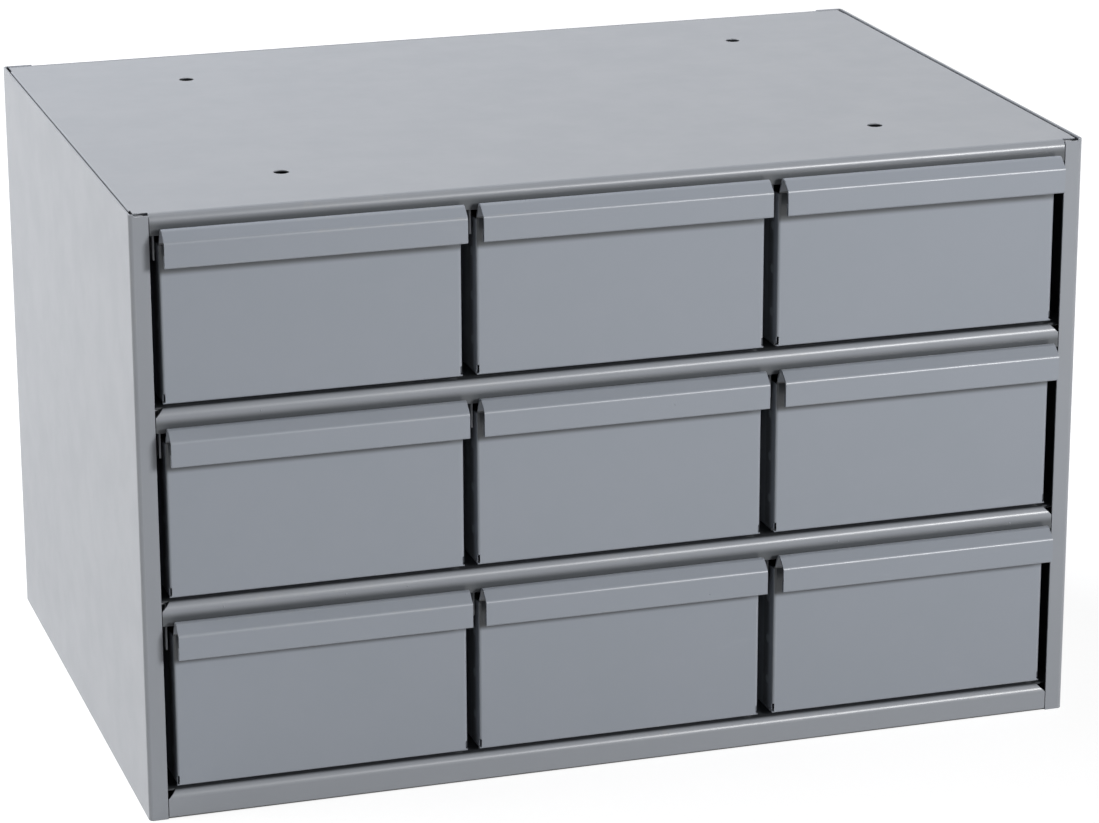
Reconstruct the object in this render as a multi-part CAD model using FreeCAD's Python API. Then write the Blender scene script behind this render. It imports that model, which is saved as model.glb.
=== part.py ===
"""Nine-drawer sheet-steel parts cabinet.

The case is folded from thin steel sheet: two channel-shaped side panels, a top
pan, a bottom pan, two shelf pans and a flat back.  Guides hang from the pan
above each row of drawers.  Every drawer is three pressings: a front with a
hooked pull folded along its top edge, a trough, and a back with a stop tab.

The origin is at the middle of the footprint, pulls included, on the floor.
X runs to the right, Y to the back and Z up, all in millimetres.  A bend's
radius is the one inside the fold, and a sharp fold has a square inside corner.
"""
import FreeCAD, Part
import math
import os

Vector = FreeCAD.Vector

# Case, overall
case_width = 438.15
case_depth = 298.45
case_height = 276.2
sheet = 0.9
sharp = 0

# Side panels
side_front_flange = 8.5
side_rear_flange = 14.0
side_bend = 1.1
side_flange_relief = 1.0

# Top, shelves and bottom
top_sink = 0.3
header_height = 9.8
lip_height = 10.6
base_level = 13.0
base_clearance = 0.9
rail_bend = 2.6
pan_drop = 9.0
pan_end_relief = 9.0
top_side_gap = 0.8
lip_end_gap = 0.3
lip_corner_cut = 3.7
top_row_shortfall = 1.7

# Back panel
back_edge_gap = 0.4
back_floor_gap = 1.0

# Bolt holes through the top and the bottom
bolt_hole_diameter = 7.1
bolt_spacing_x = 279.4
bolt_spacing_y = 190.5

# Room round the drawers
wall_gap = 11.675
column_gap = 6.4
drawer_head_room = 5.35
drawer_rear_gap = 9.9
drawer_recess = 1.0
slide_gap = 0.3

# Drawer front
front_bend = 0.6
front_return = 12.0
front_return_top_gap = 0.3
front_floor_gap = 0.6
front_side_foot = 1.4
front_bottom_inset = 3.2
corner_slot_width = 1.3
corner_slot_height = 3.8
corner_slot_rise = 0.8
corner_slot_turn = 45.0
header_cover_gap = 0.35
lean_angle = 29.0

# Pull along the top of the drawer front
pull_reach = 10.5
pull_lap = 4.0
pull_ledge_drop = 5.2
pull_height = 16.2
pull_end_inset = 0.3
pull_hem = 4.5
crest_bend = 2.2
pull_bend = 1.0
hem_gap = 0.4

# Drawer trough
trough_setback = 6.0
trough_hem = 5.0

# Drawer back
back_return = 11.0
back_top_drop = 3.0
back_shoulder = 3.0
stop_tab_width = 42.0
stop_tab_clearance = 1.7
stop_tab_lead = 9.0

# Guides
guide_overlap = 6.65
guide_flange = 8.0
guide_play = 1.0
guide_front_gap = 1.1
guide_rear_gap = 14.0

# How far a cutter passes the metal, and the shortest run or smallest radius worth drawing
overrun = 5.0
shortest_run = 0.01

# How far each drawer stands to the right of its place, as a share of the guide play
drawer_rest_shares = {
    "top": (-0.1, 0.1, 0.0),
    "middle": (0.0, -0.3, 0.2),
    "bottom": (0.6, -0.2, 0.5),
}

tier_names = ("bottom", "middle", "top")
column_names = ("left", "centre", "right")

# The case's own places
half_width = case_width / 2
front_y = -(case_depth - pull_reach) / 2
rear_y = front_y + case_depth
inner_half = half_width - sheet
inner_rear_y = rear_y - 2 * sheet
top_level = case_height - top_sink
header_low = case_height - header_height
tier_pitch = (top_level + top_row_shortfall - base_level) / len(tier_names)
tier_levels = [base_level + tier * tier_pitch for tier in range(len(tier_names))]
crowning_levels = [tier_levels[1] - sheet, tier_levels[2] - sheet, top_level - sheet]

# The drawers' sizes, which fill the rows that the case leaves, the top row being the lowest
columns = len(column_names)
drawer_width = (2 * inner_half - 2 * wall_gap - (columns - 1) * column_gap) / columns
drawer_pitch = drawer_width + column_gap
plate_y = front_y + drawer_recess
back_y = inner_rear_y - drawer_rear_gap
header_rise = header_low - tier_levels[-1]
drawer_height = header_rise - slide_gap - drawer_head_room
pull_crest = header_rise + pull_lap
pull_low = pull_crest - pull_height
stop_tab_top = crowning_levels[-1] - tier_levels[-1] - stop_tab_clearance
guide_low = slide_gap + drawer_height - guide_overlap


def along_x(u, v, w):
    """A section drawn in Y and Z, extruded along X."""
    return Vector(w, u, v)


def along_y(u, v, w):
    """A section drawn in X and Z, extruded along Y."""
    return Vector(u, w, v)


def along_z(u, v, w):
    """A section drawn in X and Y, extruded along Z."""
    return Vector(u, v, w)


def unit(a, b):
    """The direction from point a to point b in a section."""
    length = math.hypot(b[0] - a[0], b[1] - a[1])
    return ((b[0] - a[0]) / length, (b[1] - a[1]) / length)


def sheet_edges(points, bends, offset, place):
    """Straight runs and tangent arcs beside a path, moved to its right by offset."""
    edges = []
    way = unit(points[0], points[1])
    at = (points[0][0] + way[1] * offset, points[0][1] - way[0] * offset)
    for corner, after, bend in zip(points[1:-1], points[2:], bends):
        way_out = unit(corner, after)
        turn = way[0] * way_out[1] - way[1] * way_out[0]
        side = 1 if turn > 0 else -1
        radius = bend if turn > 0 else bend + sheet
        angle = math.acos(max(-1, min(1, way[0] * way_out[0] + way[1] * way_out[1])))
        reach = radius * math.tan(angle / 2)
        centre = (corner[0] - way[0] * reach - side * way[1] * radius,
                  corner[1] - way[1] * reach + side * way[0] * radius)
        bent = radius + side * offset
        first = (centre[0] + side * way[1] * bent, centre[1] - side * way[0] * bent)
        last = (centre[0] + side * way_out[1] * bent, centre[1] - side * way_out[0] * bent)
        if math.dist(at, first) > shortest_run:
            edges.append(Part.LineSegment(place(*at), place(*first)))
        if bent > shortest_run:
            chord = unit(first, last)
            middle = (centre[0] + side * chord[1] * bent, centre[1] - side * chord[0] * bent)
            edges.append(Part.Arc(place(*first), place(*middle), place(*last)))
        at = last
        way = way_out
    stop = (points[-1][0] + way[1] * offset, points[-1][1] - way[0] * offset)
    edges.append(Part.LineSegment(place(*at), place(*stop)))
    return edges


def bent_sheet(points, bends, direction, start, stop):
    """Sheet steel folded along a path, its thickness on the right of the path."""
    def place(u, v):
        return direction(u, v, start)

    near = sheet_edges(points, bends, 0, place)
    far = sheet_edges(points, bends, sheet, place)
    caps = [
        Part.LineSegment(near[0].StartPoint, far[0].StartPoint),
        Part.LineSegment(near[-1].EndPoint, far[-1].EndPoint),
    ]
    edges = [curve.toShape() for curve in near + far + caps]
    section = Part.Face(Part.Wire(Part.__sortEdges__(edges)))
    return section.extrude(direction(0, 0, stop) - direction(0, 0, start))


def block(low, high):
    """A box between two corners."""
    size = [b - a for a, b in zip(low, high)]
    return Part.makeBox(*size, Vector(*low))


def joined(first, *others):
    """One solid made of folds of the same sheet."""
    return first.fuse(list(others)).removeSplitter().Solids[0]


def cut(shape, *cutters):
    """The sheet with the cutters taken away."""
    return shape.cut(list(cutters)).removeSplitter().Solids[0]


def mirrored(shape):
    """The same piece for the other side of the middle plane."""
    return shape.mirror(Vector(0, 0, 0), Vector(1, 0, 0))


def side_panel():
    """Left side: a channel with a narrow front flange and a wider rear one."""
    section = [
        (-half_width + side_front_flange, front_y),
        (-half_width, front_y),
        (-half_width, rear_y),
        (-half_width + side_rear_flange, rear_y),
    ]
    panel = bent_sheet(section, [side_bend] * 2, along_z, 0, case_height)
    round_end = side_bend + sheet
    relief = block(
        (-half_width + round_end, front_y - overrun, case_height - side_flange_relief),
        (-half_width + side_front_flange + overrun, front_y + round_end, case_height + overrun))
    return cut(panel, relief)


def pan(level, front_drop, corner_cut, side_gap):
    """A level sheet with its front, rear and side edges folded down."""
    half = inner_half - side_gap
    lengthwise = [
        (front_y, level - front_drop),
        (front_y, level),
        (inner_rear_y, level),
        (inner_rear_y, level - pan_drop),
    ]
    crosswise = [
        (-half, level - pan_drop),
        (-half, level),
        (half, level),
        (half, level - pan_drop),
    ]
    reach = half - sheet
    long_sheet = bent_sheet(lengthwise, [rail_bend, sharp], along_x, -reach, reach)
    wide_sheet = bent_sheet(crosswise, [sharp] * 2, along_y,
                            front_y + pan_end_relief, inner_rear_y - pan_end_relief)
    lip_end = half_width - side_front_flange - lip_end_gap
    round_end = front_y + rail_bend + sheet
    cutters = []
    for sign in (-1, 1):
        near, far = sorted((sign * lip_end, sign * (half_width + overrun)))
        cutters.append(block((near, front_y - overrun, level - front_drop - overrun),
                             (far, round_end, level + overrun)))
        if corner_cut > 0:
            outer = sign * (lip_end + overrun)
            corner = [
                Vector(outer, front_y - overrun, level + overrun),
                Vector(sign * (lip_end - corner_cut - overrun), front_y - overrun, level + overrun),
                Vector(outer, front_y - overrun, level - corner_cut - overrun),
            ]
            wedge = Part.Face(Part.makePolygon(corner + corner[:1]))
            cutters.append(wedge.extrude(Vector(0, round_end - front_y + overrun, 0)))
    return cut(joined(long_sheet, wide_sheet), *cutters)


def bolt_holes(level):
    """Four round cutters on the bolt pattern, through the sheet at this level."""
    cutters = []
    middle_y = (front_y + rear_y) / 2
    for x in (-bolt_spacing_x / 2, bolt_spacing_x / 2):
        for y in (-bolt_spacing_y / 2, bolt_spacing_y / 2):
            foot = Vector(x, middle_y + y, level - overrun)
            cutters.append(Part.makeCylinder(bolt_hole_diameter / 2, 2 * overrun, foot))
    return cutters


def back_panel():
    """Flat sheet welded in front of the rear flanges of the sides."""
    edge = inner_half - side_bend - back_edge_gap
    return block((-edge, inner_rear_y, back_floor_gap), (edge, inner_rear_y + sheet, top_level))


def guide(section, bends):
    """A folded strip that hangs under a pan, from behind its front edge to near its back."""
    start = front_y + rail_bend + sheet + guide_front_gap
    return bent_sheet(section, bends, along_y, start, inner_rear_y - guide_rear_gap)


def inner_guide(middle, tier):
    """A narrow channel, mouth down, between two columns of drawers."""
    half = column_gap / 2 - guide_play
    high = crowning_levels[tier]
    low = tier_levels[tier] + guide_low
    section = [
        (middle - half, low),
        (middle - half, high),
        (middle + half, high),
        (middle + half, low),
    ]
    return guide(section, [sharp] * 2)


def wall_guide(tier):
    """An angle between the left side and the first column of drawers."""
    high = crowning_levels[tier]
    low = tier_levels[tier] + guide_low
    leg = -inner_half + wall_gap - guide_play
    return guide([(leg - sheet - guide_flange, high), (leg, high), (leg, low)], [sharp])


def lean_points(level):
    """Where the front starts to lean forward, and the crest of its pull."""
    lean = math.radians(lean_angle)
    pass_y = front_y - header_cover_gap - sheet * math.cos(lean)
    pass_z = header_rise - sheet * math.sin(lean)
    crest_y = pass_y - (pull_crest - pass_z) * math.tan(lean)
    kink_z = pass_z - (plate_y - pass_y) / math.tan(lean)
    return (plate_y, level + kink_z), (crest_y, level + pull_crest)


def drawer_front(middle, level):
    """Front pressing: plate with side returns and bottom return, and a hooked pull on a neck."""
    half = drawer_width / 2
    round_end = front_bend + sheet
    bottom = level + slide_gap + sheet + front_floor_gap
    kink, crest = lean_points(level)
    pull_y = front_y - pull_reach + sheet
    hem_low = level + pull_low + sheet
    upright_section = [
        (plate_y + front_return, bottom),
        (plate_y, bottom),
        kink,
        crest,
        (pull_y, crest[1] - pull_ledge_drop),
        (pull_y, hem_low),
        (pull_y + hem_gap, hem_low),
        (pull_y + hem_gap, hem_low + pull_hem),
    ]
    upright = bent_sheet(upright_section,
                         [sharp, sharp, crest_bend, pull_bend, sharp, sharp],
                         along_x, middle - half + pull_end_inset, middle + half - pull_end_inset)
    returns_foot = bottom + front_side_foot
    returns_top = kink[1] - front_return_top_gap
    foot_section = [(plate_y + front_return, bottom), (plate_y, bottom), (plate_y, returns_foot)]
    foot = bent_sheet(foot_section, [sharp], along_x, middle - half, middle + half)
    level_section = [
        (middle + half, plate_y + front_return),
        (middle + half, plate_y),
        (middle - half, plate_y),
        (middle - half, plate_y + front_return),
    ]
    returns = bent_sheet(level_section, [front_bend] * 2, along_z, returns_foot, returns_top)

    # Below the neck the plate leaves room for the side bends, the bottom return stops
    # short of the side returns, and a slot through each lower corner's bend relieves it
    trims = []
    cutters = []
    slots = []
    for sign in (-1, 1):
        bend_x = middle + sign * (half - round_end)
        beyond = middle + sign * (half + overrun)
        near, far = sorted((bend_x, beyond))
        trims.append(block((near, plate_y - overrun, bottom - overrun),
                           (far, plate_y + front_return + overrun, kink[1])))
        near, far = sorted((middle + sign * (half - front_bottom_inset), beyond))
        cutters.append(block((near, plate_y + round_end, bottom - overrun),
                             (far, plate_y + front_return + overrun, returns_foot)))
        slot = block((-corner_slot_width / 2, -round_end - overrun, 0),
                     (corner_slot_width / 2, 0, corner_slot_height))
        slot.rotate(Vector(0, 0, 0), Vector(0, 0, 1), sign * corner_slot_turn)
        slot.translate(Vector(bend_x, plate_y + round_end, bottom + corner_slot_rise))
        slots.append(slot)
    plain = joined(cut(upright, *trims), foot)
    return cut(joined(cut(plain, *cutters), returns), *slots)


def drawer_trough(middle, level):
    """Bottom and sides folded from one sheet, with the top edges hemmed inwards."""
    half = drawer_width / 2 - sheet
    bottom = level + slide_gap
    top = bottom + drawer_height
    fold = 2 * sheet + hem_gap
    right_side = [
        (middle + half - fold, top - trough_hem),
        (middle + half - fold, top),
        (middle + half, top),
        (middle + half, bottom),
    ]
    left_side = [(2 * middle - u, v) for u, v in reversed(right_side)]
    return bent_sheet(right_side + left_side, [sharp] * 6, along_y,
                      plate_y + trough_setback, back_y)


def drawer_back(middle, level):
    """Back pressing between the sides, with a tab that stops behind the rail above."""
    half = drawer_width / 2 - 2 * sheet
    bottom = level + slide_gap + sheet
    top = level + slide_gap + drawer_height - back_top_drop
    shoulder = level + slide_gap + drawer_height - trough_hem - back_top_drop
    level_section = [
        (middle - half, back_y - back_return),
        (middle - half, back_y),
        (middle + half, back_y),
        (middle + half, back_y - back_return),
    ]
    channel = bent_sheet(level_section, [sharp] * 2, along_z, bottom, shoulder)
    tab_half = stop_tab_width / 2
    right_edge = [
        (half - back_shoulder, bottom),
        (half - back_shoulder, top),
        (tab_half + stop_tab_lead, top),
        (tab_half, level + stop_tab_top),
    ]
    left_edge = [(-x, z) for x, z in reversed(right_edge)]
    outline = [Vector(middle + x, back_y, z) for x, z in right_edge + left_edge]
    plate = Part.Face(Part.makePolygon(outline + outline[:1])).extrude(Vector(0, -sheet, 0))
    return joined(channel, plate)


def build_case():
    """The welded case, guides left out."""
    left = side_panel()
    top = pan(top_level, header_height - top_sink, 0, top_side_gap)
    bottom = pan(base_level, base_level - base_clearance, lip_corner_cut, 0)
    return {
        "left_side_panel": left,
        "right_side_panel": mirrored(left),
        "top_panel": cut(top, *bolt_holes(top_level)),
        "bottom_panel": cut(bottom, *bolt_holes(base_level)),
        "lower_shelf": pan(tier_levels[1], lip_height, lip_corner_cut, 0),
        "upper_shelf": pan(tier_levels[2], lip_height, lip_corner_cut, 0),
        "back_panel": back_panel(),
    }


def build_guides():
    """Four guides over each row: two at the walls and two between the columns."""
    guides = {}
    for tier, name in enumerate(tier_names):
        wall = wall_guide(tier)
        guides[name + "_row_left_guide"] = wall
        guides[name + "_row_right_guide"] = mirrored(wall)
        guides[name + "_row_inner_left_guide"] = inner_guide(-drawer_pitch / 2, tier)
        guides[name + "_row_inner_right_guide"] = inner_guide(drawer_pitch / 2, tier)
    return guides


def build_drawers():
    """Nine drawers of three pressings each."""
    pieces = {}
    for level, tier_name in zip(tier_levels, tier_names):
        for column, column_name in enumerate(column_names):
            rest = drawer_rest_shares[tier_name][column] * guide_play
            middle = (column - 1) * drawer_pitch + rest
            name = tier_name + "_" + column_name + "_drawer_"
            pieces[name + "front"] = drawer_front(middle, level)
            pieces[name + "trough"] = drawer_trough(middle, level)
            pieces[name + "back"] = drawer_back(middle, level)
    return pieces


os.makedirs("parts", exist_ok=True)
for builder in (build_case, build_guides, build_drawers):
    for node, solid in builder().items():
        solid.exportStep(os.path.join("parts", node + ".step"))
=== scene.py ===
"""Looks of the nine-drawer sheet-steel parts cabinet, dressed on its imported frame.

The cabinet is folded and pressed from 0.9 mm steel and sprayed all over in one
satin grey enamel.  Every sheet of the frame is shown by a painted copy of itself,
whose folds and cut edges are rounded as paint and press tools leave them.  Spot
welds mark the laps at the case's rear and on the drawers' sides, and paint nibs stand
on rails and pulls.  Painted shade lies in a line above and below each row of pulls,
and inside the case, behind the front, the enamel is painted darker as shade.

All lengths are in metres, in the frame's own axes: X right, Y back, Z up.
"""

import logging
import math
from dataclasses import dataclass, field, replace
from enum import Enum
from typing import Any, Sequence

import bmesh
import bpy
from mathutils import Matrix, Vector

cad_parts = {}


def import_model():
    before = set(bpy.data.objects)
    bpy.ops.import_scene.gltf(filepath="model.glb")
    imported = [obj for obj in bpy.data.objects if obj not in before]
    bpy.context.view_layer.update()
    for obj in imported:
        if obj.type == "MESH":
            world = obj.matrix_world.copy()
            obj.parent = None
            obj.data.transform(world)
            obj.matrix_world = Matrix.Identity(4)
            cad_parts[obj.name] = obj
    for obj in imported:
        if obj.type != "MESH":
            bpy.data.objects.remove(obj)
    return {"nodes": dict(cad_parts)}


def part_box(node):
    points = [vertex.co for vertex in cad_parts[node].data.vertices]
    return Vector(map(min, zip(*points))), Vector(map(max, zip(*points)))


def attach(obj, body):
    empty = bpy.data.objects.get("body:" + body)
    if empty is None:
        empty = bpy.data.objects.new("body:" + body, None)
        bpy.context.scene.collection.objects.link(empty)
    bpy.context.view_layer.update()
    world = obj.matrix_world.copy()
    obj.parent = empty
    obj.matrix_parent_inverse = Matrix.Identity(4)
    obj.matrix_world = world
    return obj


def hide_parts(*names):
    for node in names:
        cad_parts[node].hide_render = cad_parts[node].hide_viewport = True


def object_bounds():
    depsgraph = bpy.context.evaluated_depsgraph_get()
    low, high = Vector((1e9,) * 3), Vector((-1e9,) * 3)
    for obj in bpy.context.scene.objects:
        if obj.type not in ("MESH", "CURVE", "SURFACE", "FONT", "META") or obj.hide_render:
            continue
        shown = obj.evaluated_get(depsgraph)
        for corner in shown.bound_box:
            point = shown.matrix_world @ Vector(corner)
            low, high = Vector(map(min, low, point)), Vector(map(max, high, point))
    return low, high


log = logging.getLogger("parts_cabinet")
logging.basicConfig(level=logging.INFO, format="%(name)s: %(message)s")

MM = 0.001
Colour = tuple[float, float, float]
frame: dict[str, Any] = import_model()
cad_box: tuple[Vector, Vector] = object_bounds()
FRONT_PLANE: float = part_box("upper_shelf")[0].y
TOP_LEVEL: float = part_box("top_panel")[1].z
OUTER_SKIN: float = 0.45 * MM
REAR_SKIN: float = 1.35 * MM
PLATE_PLANE: float = FRONT_PLANE + 1.0 * MM
PULL_HEIGHT: float = 16.2 * MM
PULL_SHADE: float = 3.3 * MM


class Row(Enum):
    """The rows of drawers, by the names that the frame gives them."""

    BOTTOM = "bottom"
    MIDDLE = "middle"
    TOP = "top"


class Column(Enum):
    """The columns of drawers, by the names that the frame gives them."""

    LEFT = "left"
    CENTRE = "centre"
    RIGHT = "right"


class EdgeKind(Enum):
    """What an outer edge of folded sheet is, which settles how round it is."""

    FOLD = "fold"
    CUT = "cut"
    INSIDE = "inside"


class NodeGroupMaker:
    """Builds one reusable shader node group with named inputs and outputs."""

    def __init__(self, name: str) -> None:
        """Start an empty group.

        Args:
            name: The group's name in the file.
        """
        self.tree = bpy.data.node_groups.new(name, "ShaderNodeTree")
        self.entry = self.tree.nodes.new("NodeGroupInput")
        self.leave = self.tree.nodes.new("NodeGroupOutput")

    def takes(self, name: str, kind: str, default: float | None = None) -> None:
        """Add an input.

        Args:
            name: The input's name.
            kind: Float, Vector or Color.
            default: The value used where nothing is joined to it.
        """
        made = self.tree.interface.new_socket(name, in_out="INPUT", socket_type="NodeSocket" + kind)
        if default is not None:
            made.default_value = default

    def gives(self, name: str, kind: str, source: bpy.types.NodeSocket) -> None:
        """Add an output and join it.

        Args:
            name: The output's name.
            kind: Float, Vector or Color.
            source: The socket inside the group that feeds it.
        """
        self.tree.interface.new_socket(name, in_out="OUTPUT", socket_type="NodeSocket" + kind)
        self.tree.links.new(source, self.leave.inputs[name])

    def noise(self, vector: bpy.types.NodeSocket, scale: bpy.types.NodeSocket | float,
              detail: float, rough: float = 0.5) -> bpy.types.NodeSocket:
        """Fractal noise from 0 to 1.

        Args:
            vector: Where the pattern is read.
            scale: Cells to the metre, a socket or a number.
            detail: Octaves.
            rough: How strong the finer octaves are.

        Returns:
            The noise's value socket.
        """
        node = self.tree.nodes.new("ShaderNodeTexNoise")
        node.inputs["Detail"].default_value = detail
        node.inputs["Roughness"].default_value = rough
        self.tree.links.new(vector, node.inputs["Vector"])
        if isinstance(scale, (int, float)):
            node.inputs["Scale"].default_value = scale
        else:
            self.tree.links.new(scale, node.inputs["Scale"])
        return node.outputs["Fac"]

    def ramp(self, value: bpy.types.NodeSocket, low: float, high: float) -> bpy.types.NodeSocket:
        """Stretch a value smoothly so that low gives 0 and high gives 1.

        Args:
            value: The socket to stretch.
            low: The value that gives 0.
            high: The value that gives 1.

        Returns:
            The stretched value's socket.
        """
        node = self.tree.nodes.new("ShaderNodeMapRange")
        node.interpolation_type = "SMOOTHSTEP"
        node.inputs["From Min"].default_value = low
        node.inputs["From Max"].default_value = high
        self.tree.links.new(value, node.inputs["Value"])
        return node.outputs["Result"]

    def combine(self, how: str, first: bpy.types.NodeSocket,
                second: bpy.types.NodeSocket | float) -> bpy.types.NodeSocket:
        """Join two values with one arithmetic step.

        Args:
            how: The operation, as Blender names it.
            first: The first value.
            second: The second value, a socket or a number.

        Returns:
            The result's socket.
        """
        node = self.tree.nodes.new("ShaderNodeMath")
        node.operation = how
        self.tree.links.new(first, node.inputs[0])
        if isinstance(second, (int, float)):
            node.inputs[1].default_value = second
        else:
            self.tree.links.new(second, node.inputs[1])
        return node.outputs[0]

    def close_to(self, value: bpy.types.NodeSocket, target: bpy.types.NodeSocket,
                 within: bpy.types.NodeSocket | float) -> bpy.types.NodeSocket:
        """A mask that is 1 where a value is near its target.

        Args:
            value: The value.
            target: What it is compared with.
            within: How far off it may be, a socket or a number.

        Returns:
            The mask's socket.
        """
        node = self.tree.nodes.new("ShaderNodeMath")
        node.operation = "COMPARE"
        self.tree.links.new(value, node.inputs[0])
        self.tree.links.new(target, node.inputs[1])
        if isinstance(within, (int, float)):
            node.inputs[2].default_value = within
        else:
            self.tree.links.new(within, node.inputs[2])
        return node.outputs[0]


def spray_skin_group() -> bpy.types.NodeTree:
    """Relief of sprayed enamel: fine orange peel on slow waves of the sheet.

    Returns:
        The node group, which gives Peel, Wave and Mottle.
    """
    maker = NodeGroupMaker("spray_skin")
    maker.takes("Vector", "Vector")
    maker.takes("Peel Scale", "Float", 900.0)
    maker.takes("Wave Scale", "Float", 9.0)
    maker.takes("Mottle Scale", "Float", 38.0)
    where = maker.entry.outputs["Vector"]
    maker.gives("Peel", "Float", maker.noise(where, maker.entry.outputs["Peel Scale"], 2.0))
    maker.gives("Wave", "Float", maker.noise(where, maker.entry.outputs["Wave Scale"], 1.0))
    mottle = maker.noise(where, maker.entry.outputs["Mottle Scale"], 4.0, 0.62)
    maker.gives("Mottle", "Float", maker.ramp(mottle, 0.28, 0.72))
    return maker.tree


def thin_paint_group() -> bpy.types.NodeTree:
    """Mask of paint that is thin or rubbed, along folds and cut edges.

    Returns:
        The node group, which gives Rub and Thin.
    """
    maker = NodeGroupMaker("thin_paint")
    maker.takes("Vector", "Vector")
    maker.takes("Edge", "Float", 0.0)
    maker.takes("Reach", "Float", 0.5)
    broken = maker.noise(maker.entry.outputs["Vector"], 160.0, 5.0, 0.7)
    patches = maker.noise(maker.entry.outputs["Vector"], 14.0, 2.0)
    both = maker.combine("MULTIPLY", maker.ramp(broken, 0.5, 0.68), maker.ramp(patches, 0.5, 0.62))
    rub = maker.combine("MULTIPLY", both, maker.entry.outputs["Edge"])
    maker.gives("Rub", "Float", maker.combine("MULTIPLY", rub, maker.entry.outputs["Reach"]))
    maker.gives("Thin", "Float", maker.combine("MULTIPLY", maker.entry.outputs["Edge"],
                                               maker.ramp(patches, 0.2, 0.8)))
    return maker.tree


def inside_shade_group() -> bpy.types.NodeTree:
    """Mask of painted shade on the sheet that lies behind the front and inside the case's skin.

    Returns:
        The node group, which gives Deep.
    """
    maker = NodeGroupMaker("painted_inside_shade")
    maker.takes("Vector", "Vector")
    maker.takes("Start", "Float", 0.0)
    maker.takes("Reach", "Float", 0.004)
    parts = maker.tree.nodes.new("ShaderNodeSeparateXYZ")
    maker.tree.links.new(maker.entry.outputs["Vector"], parts.inputs[0])
    behind = maker.combine("SUBTRACT", parts.outputs["Y"], maker.entry.outputs["Start"])
    shade = maker.combine("DIVIDE", behind, maker.entry.outputs["Reach"])
    deep = maker.ramp(shade, 0.0, 1.0)
    across = maker.tree.nodes.new("ShaderNodeMath")
    across.operation = "ABSOLUTE"
    maker.tree.links.new(parts.outputs["X"], across.inputs[0])
    high = cad_box[1]
    limits = ((across.outputs[0], high.x - OUTER_SKIN),
              (parts.outputs["Z"], TOP_LEVEL - OUTER_SKIN),
              (parts.outputs["Y"], high.y - REAR_SKIN))
    for value, limit in limits:
        deep = maker.combine("MULTIPLY", deep, maker.combine("LESS_THAN", value, limit))
    maker.gives("Deep", "Float", deep)
    return maker.tree


def painted_shade_line_group() -> bpy.types.NodeTree:
    """Mask of a line of painted shade on an upright face, full at a level and fading to one side.

    Returns:
        The node group, which gives Line.
    """
    maker = NodeGroupMaker("painted_shade_line")
    maker.takes("Vector", "Vector")
    maker.takes("Level", "Float", 0.0)
    maker.takes("Fade", "Float", 0.005)
    maker.takes("Plane", "Float", 0.0)
    maker.takes("Window", "Float", 0.008)
    parts = maker.tree.nodes.new("ShaderNodeSeparateXYZ")
    maker.tree.links.new(maker.entry.outputs["Vector"], parts.inputs[0])
    above = maker.combine("SUBTRACT", parts.outputs["Z"], maker.entry.outputs["Level"])
    away = maker.combine("DIVIDE", above, maker.entry.outputs["Fade"])
    line = maker.ramp(away, 1.0, 0.0)
    line = maker.combine("MULTIPLY", line, maker.close_to(
        parts.outputs["Z"], maker.entry.outputs["Level"], maker.entry.outputs["Window"]))
    line = maker.combine("MULTIPLY", line, maker.close_to(
        parts.outputs["Y"], maker.entry.outputs["Plane"], OUTER_SKIN))
    maker.gives("Line", "Float", line)
    return maker.tree


def handling_group() -> bpy.types.NodeTree:
    """Mask of faint handling marks: short hairline scuffs and specks of dust.

    Returns:
        The node group, which gives Scuff and Speck.
    """
    maker = NodeGroupMaker("handling_marks")
    maker.takes("Vector", "Vector")
    stretch = maker.tree.nodes.new("ShaderNodeMapping")
    stretch.inputs["Rotation"].default_value = (0.3, 0.7, 0.5)
    stretch.inputs["Scale"].default_value = (1.0, 14.0, 3.0)
    maker.tree.links.new(maker.entry.outputs["Vector"], stretch.inputs["Vector"])
    hairs = maker.noise(stretch.outputs["Vector"], 60.0, 3.0, 0.6)
    where = maker.noise(maker.entry.outputs["Vector"], 7.0, 2.0)
    maker.gives("Scuff", "Float", maker.combine("MULTIPLY", maker.ramp(hairs, 0.62, 0.74),
                                                maker.ramp(where, 0.5, 0.66)))
    specks = maker.noise(maker.entry.outputs["Vector"], 420.0, 1.0)
    maker.gives("Speck", "Float", maker.ramp(specks, 0.77, 0.81))
    return maker.tree


@dataclass(frozen=True)
class PaintedShadeLine:
    """Where shade is painted in a line along every row: beside the crest or the foot of its pulls.
    """

    from_crest: float
    fade: float
    plane: float
    window: float
    colour: Colour = (0.085, 0.092, 0.1)


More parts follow.
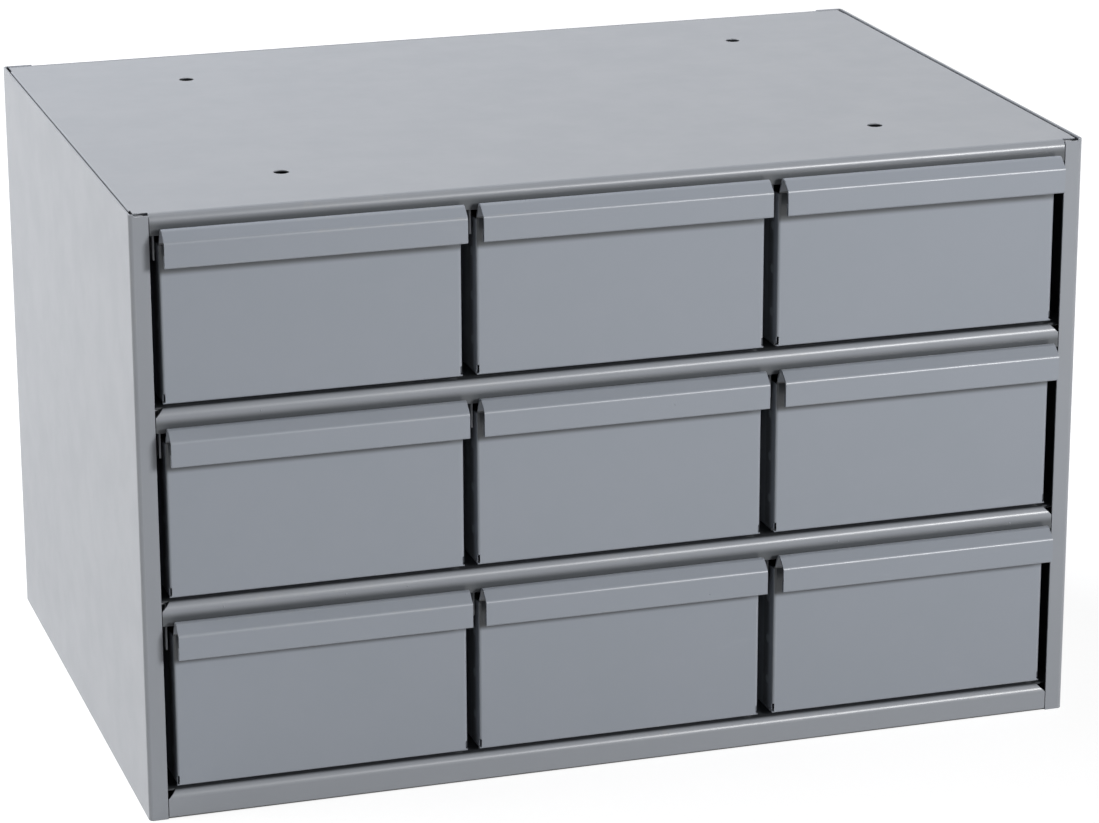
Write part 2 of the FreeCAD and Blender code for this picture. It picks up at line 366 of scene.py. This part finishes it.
@dataclass(frozen=True)
class EnamelFinish:
    """One coat of satin grey enamel on steel.

    Colours are linear.  The relief values are heights in millimetres.  The inside colour and the
    line along the pulls are painted shade laid into the enamel's colour.
    """

    name: str
    slot: str
    colour: Colour
    pale: Colour
    dark: Colour
    roughness: float = 0.33
    gloss: float = 0.5
    peel_height: float = 0.0012
    peel_scale: float = 900.0
    wave_height: float = 0.012
    rub_reach: float = 0.35
    bare: Colour = (0.36, 0.36, 0.355)
    thin_share: float = 0.5
    scuff_share: float = 0.12
    scuff_rough: float = 0.1
    rough_swing: float = 0.04
    speck_height: float = 0.02
    # inside: painted shade, the colour the sheet is darkened to behind the front
    inside: Colour = (0.12, 0.128, 0.14)
    inside_shade_start: float = 4 * MM
    inside_shade_reach: float = 5 * MM
    # painted shade in a line along each row of pulls
    painted_shade: PaintedShadeLine | None = None

    def material(self, groups: dict[str, bpy.types.NodeTree]) -> bpy.types.Material:
        """Build the finish.

        Args:
            groups: The shared shader node groups by name.

        Returns:
            The finished material.
        """
        made = bpy.data.materials.new(self.name)
        made.use_nodes = True
        tree = made.node_tree
        paint = tree.nodes["Principled BSDF"]
        paint.inputs["Specular IOR Level"].default_value = self.gloss
        paint.inputs["IOR"].default_value = 1.5
        made.diffuse_color = (*self.colour, 1.0)
        made.roughness = self.roughness
        place = tree.nodes.new("ShaderNodeTexCoord").outputs["Object"]
        edge = tree.nodes.new("ShaderNodeAttribute")
        edge.attribute_name = "edge_band"

        def group(name: str, **values: float) -> bpy.types.Node:
            """Place a shared group, read at the object's own coordinates."""
            node = tree.nodes.new("ShaderNodeGroup")
            node.node_tree = groups[name]
            tree.links.new(place, node.inputs["Vector"])
            for socket, value in values.items():
                node.inputs[socket.replace("_", " ")].default_value = value
            return node

        def mixed(share: bpy.types.NodeSocket, first: Any, second: Any) -> bpy.types.NodeSocket:
            """Mix two colours, each a socket or a colour, by a mask."""
            node = tree.nodes.new("ShaderNodeMix")
            node.data_type = "RGBA"
            tree.links.new(share, node.inputs["Factor"])
            for value, socket in ((first, node.inputs["A"]), (second, node.inputs["B"])):
                if isinstance(value, tuple):
                    socket.default_value = (*value, 1.0)
                else:
                    tree.links.new(value, socket)
            return node.outputs["Result"]

        def scaled(value: bpy.types.NodeSocket, factor: float,
                   offset: float = 0.0) -> bpy.types.NodeSocket:
            """A value times a factor, plus an offset."""
            node = tree.nodes.new("ShaderNodeMath")
            node.operation = "MULTIPLY_ADD"
            tree.links.new(value, node.inputs[0])
            node.inputs[1].default_value = factor
            node.inputs[2].default_value = offset
            return node.outputs[0]

        skin = group("spray_skin", Peel_Scale=self.peel_scale)
        thin = group("thin_paint", Reach=self.rub_reach)
        tree.links.new(edge.outputs["Fac"], thin.inputs["Edge"])
        marks = group("handling_marks")

        tone = mixed(skin.outputs["Mottle"], self.dark, self.colour)
        tone = mixed(scaled(thin.outputs["Thin"], self.thin_share), tone, self.pale)
        tone = mixed(thin.outputs["Rub"], tone, self.bare)
        tone = mixed(scaled(marks.outputs["Scuff"], self.scuff_share), tone, self.pale)
        # Painted shade: the sheet is darkened behind the front and inside the case's skin.
        inside_shade_mask = group("painted_inside_shade", Start=FRONT_PLANE + self.inside_shade_start, Reach=self.inside_shade_reach)
        tone = mixed(inside_shade_mask.outputs["Deep"], tone, self.inside)
        # Painted shade: a dark line on upright faces at each row's pulls.
        for row in Row if self.painted_shade else ():
            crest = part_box(f"{row.value}_centre_drawer_front")[1].z
            line = group("painted_shade_line", Level=crest + self.painted_shade.from_crest, Fade=self.painted_shade.fade,
                         Plane=self.painted_shade.plane, Window=self.painted_shade.window)
            tone = mixed(line.outputs["Line"], tone, self.painted_shade.colour)
        tree.links.new(tone, paint.inputs["Base Color"])

        rough = scaled(skin.outputs["Mottle"], -self.rough_swing,
                       self.roughness + self.rough_swing / 2)
        rougher = tree.nodes.new("ShaderNodeMath")
        rougher.operation = "MULTIPLY_ADD"
        tree.links.new(marks.outputs["Scuff"], rougher.inputs[0])
        rougher.inputs[1].default_value = self.scuff_rough
        tree.links.new(rough, rougher.inputs[2])
        tree.links.new(rougher.outputs[0], paint.inputs["Roughness"])

        relief = tree.nodes.new("ShaderNodeMath")
        relief.operation = "ADD"
        tree.links.new(scaled(skin.outputs["Peel"], self.peel_height * MM), relief.inputs[0])
        tree.links.new(scaled(skin.outputs["Wave"], self.wave_height * MM), relief.inputs[1])
        specked = tree.nodes.new("ShaderNodeMath")
        specked.operation = "MULTIPLY_ADD"
        tree.links.new(marks.outputs["Speck"], specked.inputs[0])
        specked.inputs[1].default_value = self.speck_height * MM
        tree.links.new(relief.outputs[0], specked.inputs[2])
        bump = tree.nodes.new("ShaderNodeBump")
        bump.inputs["Strength"].default_value = 1.0
        bump.inputs["Distance"].default_value = 1.0
        tree.links.new(specked.outputs[0], bump.inputs["Height"])
        tree.links.new(bump.outputs["Normal"], paint.inputs["Normal"])
        return made


# The case's inside colour is painted shade, nearly black from 1.3 mm behind the front.
CASE_ENAMEL = EnamelFinish(
    "case_enamel", "case_enamel",
    inside=(0.05, 0.054, 0.06), inside_shade_start=1.3 * MM, inside_shade_reach=1.7 * MM,
    colour=(0.290, 0.306, 0.334), pale=(0.333, 0.348, 0.374), dark=(0.282, 0.298, 0.326))
# The rails carry a line of painted shade on their faces just above each row's pull crest.
RAIL_ENAMEL = replace(
    CASE_ENAMEL, name="rail_enamel",
    painted_shade=PaintedShadeLine(from_crest=0.2 * MM, fade=3.8 * MM, plane=FRONT_PLANE, window=6.5 * MM))
# The fronts carry a line of painted shade on the plate just below each pull.
FRONT_ENAMEL = EnamelFinish(
    "drawer_front_enamel", "drawer_front_enamel",
    painted_shade=PaintedShadeLine(from_crest=-PULL_HEIGHT - PULL_SHADE, fade=-3.0 * MM, plane=PLATE_PLANE,
                    window=14 * MM),
    colour=(0.288, 0.311, 0.352), pale=(0.332, 0.355, 0.392), dark=(0.280, 0.305, 0.344))
BODY_ENAMEL = EnamelFinish(
    "drawer_body_enamel", "drawer_body_enamel", inside=(0.235, 0.255, 0.28),
    colour=(0.285, 0.31, 0.335), pale=(0.33, 0.355, 0.38), dark=(0.27, 0.295, 0.32),
    roughness=0.42, peel_height=0.002, rub_reach=0.6)
GUIDE_ENAMEL = EnamelFinish(
    "guide_enamel", "guide_enamel",
    colour=(0.40, 0.415, 0.44), pale=(0.46, 0.475, 0.50), dark=(0.38, 0.395, 0.42),
    roughness=0.42, peel_height=0.002, rub_reach=0.8, inside_shade_start=8 * MM)


@dataclass
class SheetPainter:
    """Turns a frame node into a painted sheet with rounded folds and edges.

    Lengths are in metres.
    """

    fold_round: float = 0.7 * MM
    cut_round: float = 0.14 * MM
    thin_face: float = 1.25 * MM
    fold_angle: float = math.radians(28)
    flat_angle: float = math.radians(0.6)
    segments: int = 3
    pieces: list[bpy.types.Object] = field(default_factory=list)

    def face_width(self, face: bmesh.types.BMFace) -> float:
        """The mean width of a face: about the short side of a strip."""
        around = sum(edge.calc_length() for edge in face.edges)
        return 2 * face.calc_area() / around if around > 0 else 0.0

    def kind(self, edge: bmesh.types.BMEdge) -> EdgeKind | None:
        """Tell what an edge of the sheet is.

        Args:
            edge: An edge of the cleaned copy.

        Returns:
            Its kind, or None where the surface runs on over it.
        """
        if len(edge.link_faces) != 2 or edge.calc_face_angle(0.0) < self.fold_angle:
            return None
        if not edge.is_convex:
            return EdgeKind.INSIDE
        if min(self.face_width(face) for face in edge.link_faces) > self.thin_face:
            return EdgeKind.FOLD
        return EdgeKind.CUT

    def paint(self, node: str, body: str, finish: EnamelFinish,
              material: bpy.types.Material) -> bpy.types.Object:
        """Make the painted copy of one frame node and let it stand for the node.

        Args:
            node: The frame node's name.
            body: The frame body that it moves with.
            finish: The finish; not used.
            material: The finish's material.

        Returns:
            The painted piece.
        """
        mesh = frame["nodes"][node].data.copy()
        mesh.name = "painted_" + node
        shape = bmesh.new()
        shape.from_mesh(mesh)
        bmesh.ops.remove_doubles(shape, verts=shape.verts, dist=0.002 * MM)
        bmesh.ops.dissolve_degenerate(shape, dist=0.001 * MM, edges=shape.edges)
        bmesh.ops.dissolve_limit(shape, angle_limit=self.flat_angle, use_dissolve_boundaries=False,
                                 verts=shape.verts, edges=shape.edges)
        weight = shape.edges.layers.float.new("bevel_weight_edge")
        shape.edges.ensure_lookup_table()
        for edge in shape.edges:
            kind = self.kind(edge)
            edge.smooth = kind is not EdgeKind.INSIDE
            if kind is EdgeKind.FOLD:
                edge[weight] = 1.0
            elif kind is EdgeKind.CUT:
                edge[weight] = self.cut_round / self.fold_round
        for face in shape.faces:
            face.smooth = True
        shape.to_mesh(mesh)
        shape.free()
        for layer in list(mesh.uv_layers):
            mesh.uv_layers.remove(layer)

        plain = bpy.data.objects.new("painted_" + node, mesh)
        bpy.context.scene.collection.objects.link(plain)
        rounding = plain.modifiers.new("rounding", "BEVEL")
        rounding.limit_method = "WEIGHT"
        rounding.width = self.fold_round
        rounding.segments = self.segments
        rounding.use_clamp_overlap = True
        rounding.miter_outer = "MITER_ARC"
        evening = plain.modifiers.new("evening", "WEIGHTED_NORMAL")
        evening.mode = "FACE_AREA"
        evening.weight = 100
        evening.keep_sharp = True
        painted = self.finished(plain, material)
        self.band_edges(painted.data)
        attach(painted, body)
        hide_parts(node)
        self.pieces.append(painted)
        return painted

    def finished(self, piece: bpy.types.Object, material: bpy.types.Material) -> bpy.types.Object:
        """Apply a piece's modifiers and give it one material.

        Args:
            piece: The object with its modifiers.
            material: What it is painted with.

        Returns:
            The same object with a plain mesh.
        """
        bpy.context.view_layer.update()
        graph = bpy.context.evaluated_depsgraph_get()
        done = bpy.data.meshes.new_from_object(piece.evaluated_get(graph), depsgraph=graph)
        done.name = piece.name
        piece.modifiers.clear()
        piece.data = done
        done.materials.clear()
        done.materials.append(material)
        return piece

    def band_edges(self, mesh: bpy.types.Mesh) -> None:
        """Mark the narrow faces along folds and cut edges, for the thin-paint mask."""
        band = mesh.attributes.new("edge_band", "FLOAT", "FACE")
        values = []
        for polygon in mesh.polygons:
            sides = [
                (mesh.vertices[a].co - mesh.vertices[b].co).length
                for a, b in polygon.edge_keys
            ]
            width = 2 * polygon.area / max(sum(sides), 1e-9)
            values.append(1.0 if width < self.fold_round else 0.0)
        band.data.foreach_set("value", values)


@dataclass
class SpotWelds:
    """Shallow round electrode marks that join one sheet to the next."""

    name: str = "spot_weld_marks"
    radius: float = 2.1 * MM
    height: float = 0.07 * MM
    top_share: float = 0.72
    sides: int = 20

    def tree(self, material: bpy.types.Material) -> bpy.types.NodeTree:
        """Build the geometry tree that sets one mark on every point.

        Args:
            material: What the marks are painted with.

        Returns:
            The geometry node tree.
        """
        tree = bpy.data.node_groups.new(self.name, "GeometryNodeTree")
        ports = tree.interface
        ports.new_socket("Geometry", in_out="INPUT", socket_type="NodeSocketGeometry")
        for name, value in (("Radius", self.radius), ("Height", self.height)):
            made = ports.new_socket(name, in_out="INPUT", socket_type="NodeSocketFloat")
            made.default_value = value
        ports.new_socket("Geometry", in_out="OUTPUT", socket_type="NodeSocketGeometry")
        nodes, links = tree.nodes, tree.links
        entry, leave = nodes.new("NodeGroupInput"), nodes.new("NodeGroupOutput")

        dish = nodes.new("GeometryNodeMeshCone")
        dish.fill_type = "NGON"
        dish.inputs["Vertices"].default_value = self.sides
        narrow = nodes.new("ShaderNodeMath")
        narrow.operation = "MULTIPLY"
        narrow.inputs[1].default_value = self.top_share
        links.new(entry.outputs["Radius"], narrow.inputs[0])
        links.new(entry.outputs["Radius"], dish.inputs["Radius Bottom"])
        links.new(narrow.outputs[0], dish.inputs["Radius Top"])
        links.new(entry.outputs["Height"], dish.inputs["Depth"])

        facing = nodes.new("FunctionNodeAlignRotationToVector")
        facing.axis = "Z"
        normal = nodes.new("GeometryNodeInputNamedAttribute")
        normal.data_type = "FLOAT_VECTOR"
        normal.inputs["Name"].default_value = "facing"
        links.new(normal.outputs["Attribute"], facing.inputs["Vector"])

        place = nodes.new("GeometryNodeInstanceOnPoints")
        links.new(entry.outputs["Geometry"], place.inputs["Points"])
        links.new(dish.outputs["Mesh"], place.inputs["Instance"])
        links.new(facing.outputs["Rotation"], place.inputs["Rotation"])
        plain = nodes.new("GeometryNodeRealizeInstances")
        links.new(place.outputs["Instances"], plain.inputs["Geometry"])
        dress = nodes.new("GeometryNodeSetMaterial")
        dress.inputs["Material"].default_value = material
        links.new(plain.outputs["Geometry"], dress.inputs["Geometry"])
        links.new(dress.outputs["Geometry"], leave.inputs["Geometry"])
        return tree

    def place(self, name: str, body: str, marks: Sequence[tuple[Vector, Vector]],
              tree: bpy.types.NodeTree, painter: SheetPainter,
              finish: EnamelFinish, material: bpy.types.Material) -> bpy.types.Object:
        """Set the marks of one body.

        Args:
            name: The piece's name.
            body: The frame body that the marks ride on.
            marks: Each mark's middle and the way it faces.
            tree: The tree that this class builds.
            painter: Finishes the piece.
            finish: The finish; not used.
            material: The finish's material.

        Returns:
            The marks as one plain mesh.
        """
        points = bpy.data.meshes.new(name)
        points.from_pydata([tuple(at) for at, _ in marks], [], [])
        facing = points.attributes.new("facing", "FLOAT_VECTOR", "POINT")
        facing.data.foreach_set("vector", [value for _, way in marks for value in way])
        piece = bpy.data.objects.new(name, points)
        bpy.context.scene.collection.objects.link(piece)
        setter = piece.modifiers.new("marks", "NODES")
        setter.node_group = tree
        wanted = {"Radius": self.radius, "Height": self.height}
        for item in tree.interface.items_tree:
            if item.item_type == "SOCKET" and item.in_out == "INPUT" and item.name in wanted:
                setter[item.identifier] = wanted[item.name]
        painter.finished(piece, material)
        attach(piece, body)
        return piece


@dataclass(frozen=True)
class Nib:
    """A grain of dried paint on a face that looks to the front."""

    sheet: str
    x: float
    drop: float

    @property
    def body(self) -> str:
        """The frame body that carries the sheet."""
        return self.sheet.removesuffix("_front") if self.sheet.endswith("_front") else "case"

    def mark(self) -> tuple[Vector, Vector]:
        """The grain's middle, measured down from the sheet's top, and the way it faces."""
        low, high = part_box(self.sheet)
        return Vector((self.x, low.y, high.z - self.drop)), Vector((0, -1, 0))


NIBS: tuple[Nib, ...] = (
    Nib("upper_shelf", -164.2 * MM, 4.4 * MM),
    Nib("lower_shelf", -182.9 * MM, 4.2 * MM),
    Nib("lower_shelf", -127.8 * MM, 4.6 * MM),
    Nib("lower_shelf", -99.8 * MM, 4.1 * MM),
    Nib("lower_shelf", 104.2 * MM, 5.2 * MM),
    Nib("lower_shelf", 189.3 * MM, 5.6 * MM),
    Nib("middle_centre_drawer_front", 21.3 * MM, 9.3 * MM),
    Nib("bottom_centre_drawer_front", 38.6 * MM, 12.5 * MM),
)


@dataclass
class Enamels:
    """The five finishes and the node groups that they share."""

    groups: dict[str, bpy.types.NodeTree] = field(default_factory=dict)
    made: dict[str, bpy.types.Material] = field(default_factory=dict)

    def mix(self) -> None:
        """Build the shared groups, then each finish from them."""
        self.groups = {
            "spray_skin": spray_skin_group(),
            "thin_paint": thin_paint_group(),
            "handling_marks": handling_group(),
            "painted_inside_shade": inside_shade_group(),
            "painted_shade_line": painted_shade_line_group(),
        }
        for finish in (CASE_ENAMEL, RAIL_ENAMEL, FRONT_ENAMEL, BODY_ENAMEL, GUIDE_ENAMEL):
            self.made[finish.name] = finish.material(self.groups)

    def of(self, finish: EnamelFinish) -> bpy.types.Material:
        """The material of a finish."""
        return self.made[finish.name]


@dataclass
class Case:
    """The welded case: sides, top, bottom, shelves and back."""

    body: str = "case"
    sheets: tuple[str, ...] = (
        "left_side_panel", "right_side_panel", "top_panel", "bottom_panel",
        "lower_shelf", "upper_shelf", "back_panel")
    rails: tuple[str, ...] = ("top_panel", "lower_shelf", "upper_shelf")
    weld_count: int = 5
    side_span: tuple[float, float] = (0.08, 0.84)
    shelf_span: tuple[float, float] = (0.1, 0.8)
    shelf_drop: float = 5 * MM

    def build(self, painter: SheetPainter, enamels: Enamels) -> None:
        """Paint the case's seven sheets."""
        for node in self.sheets:
            finish = RAIL_ENAMEL if node in self.rails else CASE_ENAMEL
            painter.paint(node, self.body, finish, enamels.of(finish))

    def weld_marks(self) -> list[tuple[Vector, Vector]]:
        """Marks that join the rear flanges and the shelves' rear edges to the back.

        Returns:
            Each mark's middle and the way it faces.
        """
        low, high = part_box("back_panel")
        marks = []
        for side in ("left_side_panel", "right_side_panel"):
            near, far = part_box(side)
            middle = (near.x + far.x) / 2
            for step in range(self.weld_count):
                share = self.side_span[0] + self.side_span[1] * step / (self.weld_count - 1)
                z = low.z + (high.z - low.z) * share
                marks.append((Vector((middle, far.y, z)), Vector((0, 1, 0))))
        for shelf in ("lower_shelf", "upper_shelf", "top_panel", "bottom_panel"):
            shelf_low, shelf_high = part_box(shelf)
            z = shelf_high.z - self.shelf_drop
            for step in range(self.weld_count):
                share = self.shelf_span[0] + self.shelf_span[1] * step / (self.weld_count - 1)
                x = shelf_low.x + (shelf_high.x - shelf_low.x) * share
                marks.append((Vector((x, high.y, z)), Vector((0, 1, 0))))
        return marks


@dataclass
class Guides:
    """The strips that keep each row of drawers apart, four over each row."""

    body: str = "case"
    places: tuple[str, ...] = ("left", "inner_left", "inner_right", "right")

    def build(self, painter: SheetPainter, enamels: Enamels) -> None:
        """Paint the twelve strips."""
        for row in Row:
            for place in self.places:
                painter.paint(f"{row.value}_row_{place}_guide", self.body, GUIDE_ENAMEL,
                              enamels.of(GUIDE_ENAMEL))


@dataclass
class Drawer:
    """One drawer: front pressing, trough and back."""

    row: Row
    column: Column
    weld_height: tuple[float, ...] = (16 * MM, 36 * MM, 56 * MM)
    weld_edge: float = 5 * MM

    @property
    def body(self) -> str:
        """The frame body's name."""
        return f"{self.row.value}_{self.column.value}_drawer"

    def build(self, painter: SheetPainter, enamels: Enamels) -> None:
        """Paint the drawer's three pressings."""
        painter.paint(self.body + "_front", self.body, FRONT_ENAMEL, enamels.of(FRONT_ENAMEL))
        for part in ("_trough", "_back"):
            painter.paint(self.body + part, self.body, BODY_ENAMEL, enamels.of(BODY_ENAMEL))

    def weld_marks(self) -> list[tuple[Vector, Vector]]:
        """Marks on both sides of the drawer, behind its front and before its back.

        Returns:
            Each mark's middle and the way it faces.
        """
        boxes = [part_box(self.body + part) for part in ("_trough", "_front")]
        foot = boxes[0][0].z
        marks = []
        for low, high in boxes:
            for x, way in ((low.x, -1), (high.x, 1)):
                for height in self.weld_height:
                    place = Vector((x, high.y - self.weld_edge, foot + height))
                    marks.append((place, Vector((way, 0, 0))))
        return marks


@dataclass(frozen=True)
class Softbox:
    """One rectangular lamp, aimed at a point."""

    name: str
    at: tuple[float, float, float]
    aim: tuple[float, float, float]
    size: tuple[float, float]
    power: float
    colour: Colour = (1.0, 1.0, 1.0)

    def hang(self) -> None:
        """Put the lamp in the scene."""
        lamp = bpy.data.lights.new(self.name, "AREA")
        lamp.shape = "RECTANGLE"
        lamp.size, lamp.size_y = self.size
        lamp.energy = self.power
        lamp.color = self.colour
        holder = bpy.data.objects.new(self.name, lamp)
        bpy.context.scene.collection.objects.link(holder)
        way = Vector(self.aim) - Vector(self.at)
        turn = way.to_track_quat("-Z", "Y").to_matrix().to_4x4()
        holder.matrix_world = Matrix.Translation(self.at) @ turn


@dataclass
class Studio:
    """White floor, soft lamps and the photograph's camera."""

    room_light: float = 0.08
    floor_half: float = 6.0
    covered_inset: float = 1.0 * MM
    paper_white: float = 0.38
    paper_glow: float = 0.81
    lamps: tuple[Softbox, ...] = (
        Softbox("left_softbox", (-2.0, 0.5, 1.1), (-0.22, 0.0, 0.15), (1.3, 1.3), 27.3,
                (1.0, 0.985, 0.955)),
        Softbox("rear_top_softbox", (-0.9, 1.3, 2.0), (0.0, 0.0, 0.28), (1.3, 0.9), 48.0,
                (0.9, 0.93, 1.0)),
        Softbox("right_front_softbox", (1.02, -2.06, 0.86), (0.05, -0.1, 0.18), (0.42, 0.5), 40.5),
    )
    camera_at: tuple[float, float, float] = (-0.5392, -1.7527, 0.7075)
    camera_yaw: float = 17.44
    camera_pitch: float = 17.63
    camera_roll: float = 0.17
    focal_pixels: float = 4010.0
    picture_width: float = 1099.0

    def build(self) -> None:
        """Lay the floor, hang the lamps, and set the world and the view."""
        self.lay_floor()
        for lamp in self.lamps:
            lamp.hang()
        self.light_room()
        self.set_camera()
        bpy.context.scene.view_settings.view_transform = "Standard"

    def seen_directly(self, tree: bpy.types.NodeTree) -> bpy.types.NodeSocket:
        """A mask that is 1 for the camera's, mirrored and refracted rays.

        Args:
            tree: The material's or the world's tree.

        Returns:
            The mask's socket.
        """
        path = tree.nodes.new("ShaderNodeLightPath")
        total = path.outputs["Is Camera Ray"]
        for name in ("Is Glossy Ray", "Is Transmission Ray"):
            more = tree.nodes.new("ShaderNodeMath")
            more.operation = "MAXIMUM"
            tree.links.new(total, more.inputs[0])
            tree.links.new(path.outputs[name], more.inputs[1])
            total = more.outputs[0]
        return total

    def beside_case(self, tree: bpy.types.NodeTree) -> bpy.types.NodeSocket:
        """A mask that is 1 on the floor around the case and 0 on the floor that it covers.

        Args:
            tree: The floor material's tree.

        Returns:
            The mask's socket.
        """
        place = tree.nodes.new("ShaderNodeTexCoord")
        parts = tree.nodes.new("ShaderNodeSeparateXYZ")
        tree.links.new(place.outputs["Object"], parts.inputs[0])
        high = cad_box[1]
        inset = self.covered_inset
        spans = (("X", -high.x + inset, high.x - inset),
                 ("Y", FRONT_PLANE + inset, high.y - inset))
        covered = None
        for axis, low, far in spans:
            within = tree.nodes.new("ShaderNodeMath")
            within.operation = "COMPARE"
            tree.links.new(parts.outputs[axis], within.inputs[0])
            within.inputs[1].default_value = (low + far) / 2
            within.inputs[2].default_value = (far - low) / 2
            if covered is None:
                covered = within.outputs[0]
            else:
                both = tree.nodes.new("ShaderNodeMath")
                both.operation = "MULTIPLY"
                tree.links.new(covered, both.inputs[0])
                tree.links.new(within.outputs[0], both.inputs[1])
                covered = both.outputs[0]
        rest = tree.nodes.new("ShaderNodeMath")
        rest.operation = "SUBTRACT"
        rest.inputs[0].default_value = 1.0
        tree.links.new(covered, rest.inputs[1])
        return rest.outputs[0]

    def lay_floor(self) -> None:
        """A pale floor that looks white where nothing shades it."""
        half = self.floor_half
        mesh = bpy.data.meshes.new("floor")
        corners = [(-half, -half, 0), (half, -half, 0), (half, half, 0), (-half, half, 0)]
        mesh.from_pydata(corners, [], [(0, 1, 2, 3)])
        floor = bpy.data.objects.new("floor", mesh)
        bpy.context.scene.collection.objects.link(floor)
        made = bpy.data.materials.new("floor_paper")
        made.use_nodes = True
        tree = made.node_tree
        tree.nodes.clear()
        leave = tree.nodes.new("ShaderNodeOutputMaterial")
        paper = tree.nodes.new("ShaderNodeBsdfDiffuse")
        paper.inputs["Color"].default_value = (self.paper_white,) * 3 + (1.0,)
        lift = tree.nodes.new("ShaderNodeEmission")
        strength = tree.nodes.new("ShaderNodeMath")
        strength.operation = "MULTIPLY"
        strength.inputs[1].default_value = self.paper_glow
        tree.links.new(self.seen_directly(tree), strength.inputs[0])
        outside = tree.nodes.new("ShaderNodeMath")
        outside.operation = "MULTIPLY"
        tree.links.new(strength.outputs[0], outside.inputs[0])
        tree.links.new(self.beside_case(tree), outside.inputs[1])
        tree.links.new(outside.outputs[0], lift.inputs["Strength"])
        both = tree.nodes.new("ShaderNodeAddShader")
        tree.links.new(paper.outputs[0], both.inputs[0])
        tree.links.new(lift.outputs[0], both.inputs[1])
        tree.links.new(both.outputs[0], leave.inputs["Surface"])
        mesh.materials.append(made)

    def light_room(self) -> None:
        """Even room light, seen as white."""
        world = bpy.data.worlds.new("studio")
        bpy.context.scene.world = world
        world.use_nodes = True
        tree = world.node_tree
        glow = tree.nodes["Background"]
        glow.inputs["Color"].default_value = (1.0, 1.0, 1.0, 1.0)
        level = tree.nodes.new("ShaderNodeMapRange")
        level.inputs["To Min"].default_value = self.room_light
        level.inputs["To Max"].default_value = 1.0
        tree.links.new(self.seen_directly(tree), level.inputs["Value"])
        tree.links.new(level.outputs["Result"], glow.inputs["Strength"])

    def set_camera(self) -> None:
        """The photograph's view."""
        yaw = math.radians(self.camera_yaw)
        pitch = math.radians(self.camera_pitch)
        roll = math.radians(self.camera_roll)
        ahead = math.cos(pitch)
        forward = Vector((math.sin(yaw) * ahead, math.cos(yaw) * ahead, -math.sin(pitch)))
        level_right = Vector((math.cos(yaw), -math.sin(yaw), 0.0))
        level_down = forward.cross(level_right)
        right = math.cos(roll) * level_right + math.sin(roll) * level_down
        down = -math.sin(roll) * level_right + math.cos(roll) * level_down
        lens = bpy.data.cameras.new("camera")
        lens.sensor_width = 36.0
        lens.lens = self.focal_pixels * lens.sensor_width / self.picture_width
        lens.clip_start, lens.clip_end = 0.05, 50.0
        holder = bpy.data.objects.new("camera", lens)
        bpy.context.scene.collection.objects.link(holder)
        turn = Matrix((right, -down, -forward)).transposed().to_4x4()
        holder.matrix_world = Matrix.Translation(self.camera_at) @ turn
        bpy.context.scene.camera = holder


def main() -> None:
    """Build the cabinet's sub-assemblies in order, then the studio."""
    enamels = Enamels()
    enamels.mix()
    painter = SheetPainter()
    welds = SpotWelds()
    case, guides = Case(), Guides()
    case.build(painter, enamels)
    log.info("case: %d sheets", len(case.sheets))
    guides.build(painter, enamels)
    log.info("guides: %d strips", len(Row) * len(guides.places))
    case_tree = welds.tree(enamels.of(CASE_ENAMEL))
    welds.place("case_spot_welds", case.body, case.weld_marks(), case_tree, painter,
                CASE_ENAMEL, enamels.of(CASE_ENAMEL))
    log.info("case spot welds: %d", len(case.weld_marks()))
    drawer_tree = welds.tree(enamels.of(BODY_ENAMEL))
    for row in Row:
        for column in Column:
            drawer = Drawer(row, column)
            drawer.build(painter, enamels)
            welds.place(drawer.body + "_spot_welds", drawer.body, drawer.weld_marks(), drawer_tree,
                        painter, BODY_ENAMEL, enamels.of(BODY_ENAMEL))
            log.info("%s: 3 pressings, %d spot welds", drawer.body, len(drawer.weld_marks()))
    grain = SpotWelds(name="paint_nibs", radius=0.4 * MM, height=0.18 * MM, top_share=0.35, sides=10)
    for body in dict.fromkeys(nib.body for nib in NIBS):
        finish = CASE_ENAMEL if body == case.body else FRONT_ENAMEL
        marks = [nib.mark() for nib in NIBS if nib.body == body]
        grain.place(body + "_paint_nibs", body, marks, grain.tree(enamels.of(finish)), painter,
                    finish, enamels.of(finish))
    log.info("paint nibs: %d", len(NIBS))
    Studio().build()


if __name__ == "__main__":
    main()
